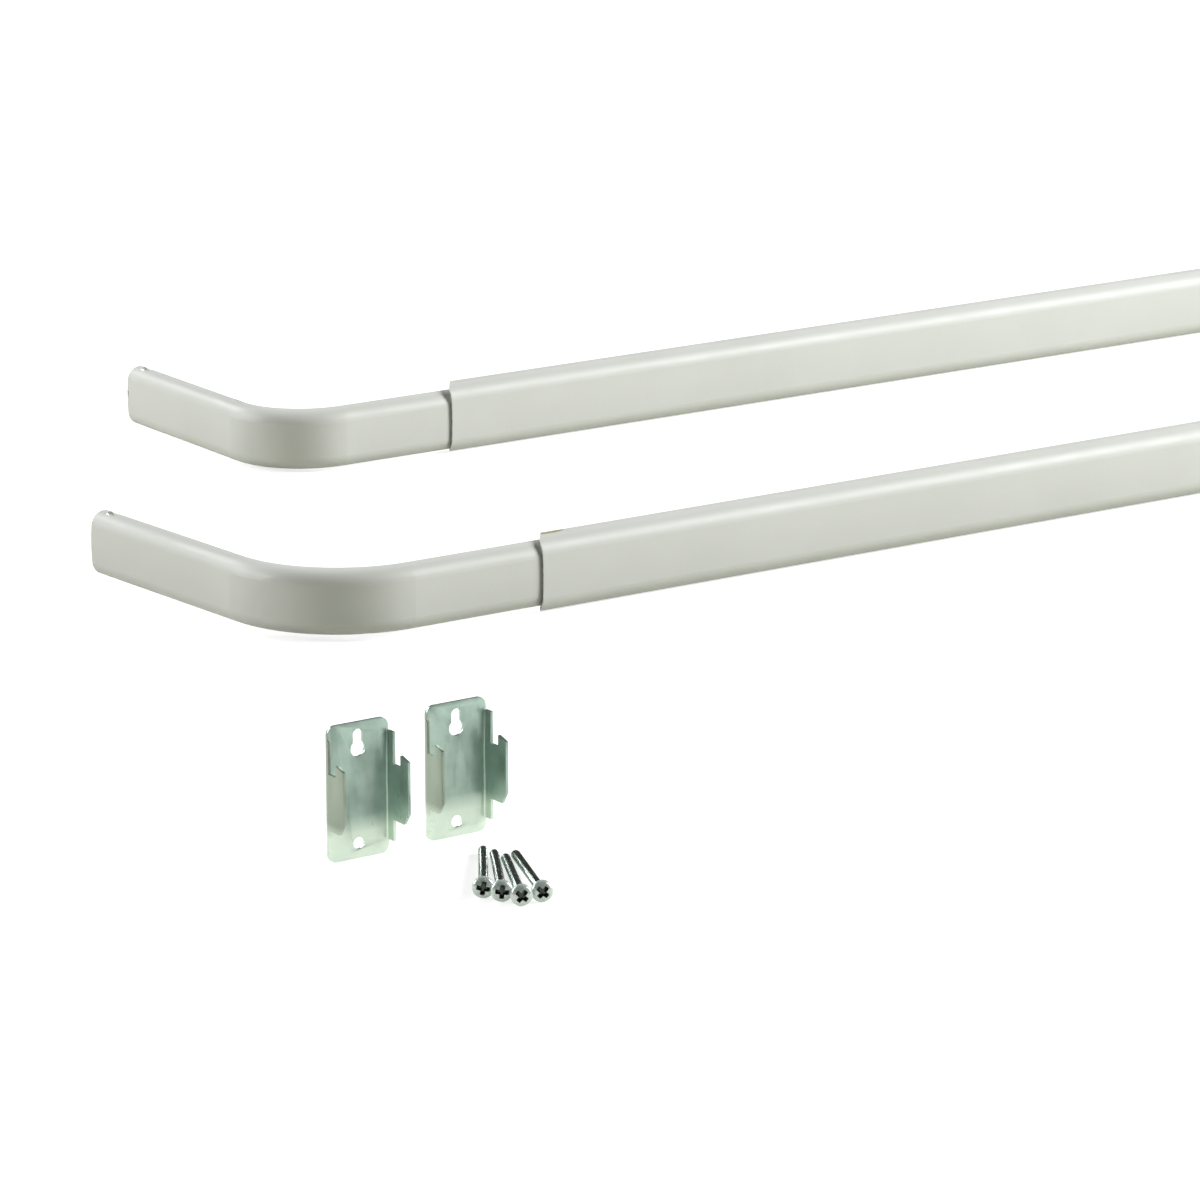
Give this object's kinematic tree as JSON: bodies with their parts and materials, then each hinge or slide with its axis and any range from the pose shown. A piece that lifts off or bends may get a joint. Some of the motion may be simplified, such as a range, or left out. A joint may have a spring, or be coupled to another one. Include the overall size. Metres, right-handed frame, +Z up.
{
  "type": "double curtain rod",
  "caption": "Set of telescoping painted steel channel curtain rods with bent returns, with folded zinc-plated wall brackets that hook into the rods' ends, and pan-head screws.",
  "frame": {"origin": "on the surface that the set lies on, at the middle of its footprint", "axes": "+X along the rods, from the narrow halves to the wide ones; +Y the way the returns point, to the wall; +Z up"},
  "size_m": [0.9492, 0.5626, 0.04],
  "materials": {
    "rod_paint": "semi-gloss off-white enamel on rolled steel",
    "bracket_zinc": "satin zinc plating on sheet steel",
    "screw_steel": "bright zinc plating"
  },
  "bodies": {
    "set": {"outer_rod_sleeve": "rod_paint", "inner_rod_sleeve": "rod_paint", "bracket_1": "bracket_zinc", "bracket_2": "bracket_zinc", "screw_1": "screw_steel", "screw_2": "screw_steel", "screw_3": "screw_steel", "screw_4": "screw_steel"},
    "outer_slider": {"outer_rod_slider": "rod_paint"},
    "inner_slider": {"inner_rod_slider": "rod_paint"}
  },
  "joints": [
    {"name": "outer_extension", "type": "slide", "parent": "set", "child": "outer_slider", "axis": [-1, 0, 0], "range_m": [-0.035, 0.45]},
    {"name": "inner_extension", "type": "slide", "parent": "set", "child": "inner_slider", "axis": [-1, 0, 0], "range_m": [-0.035, 0.45]}
  ]
}
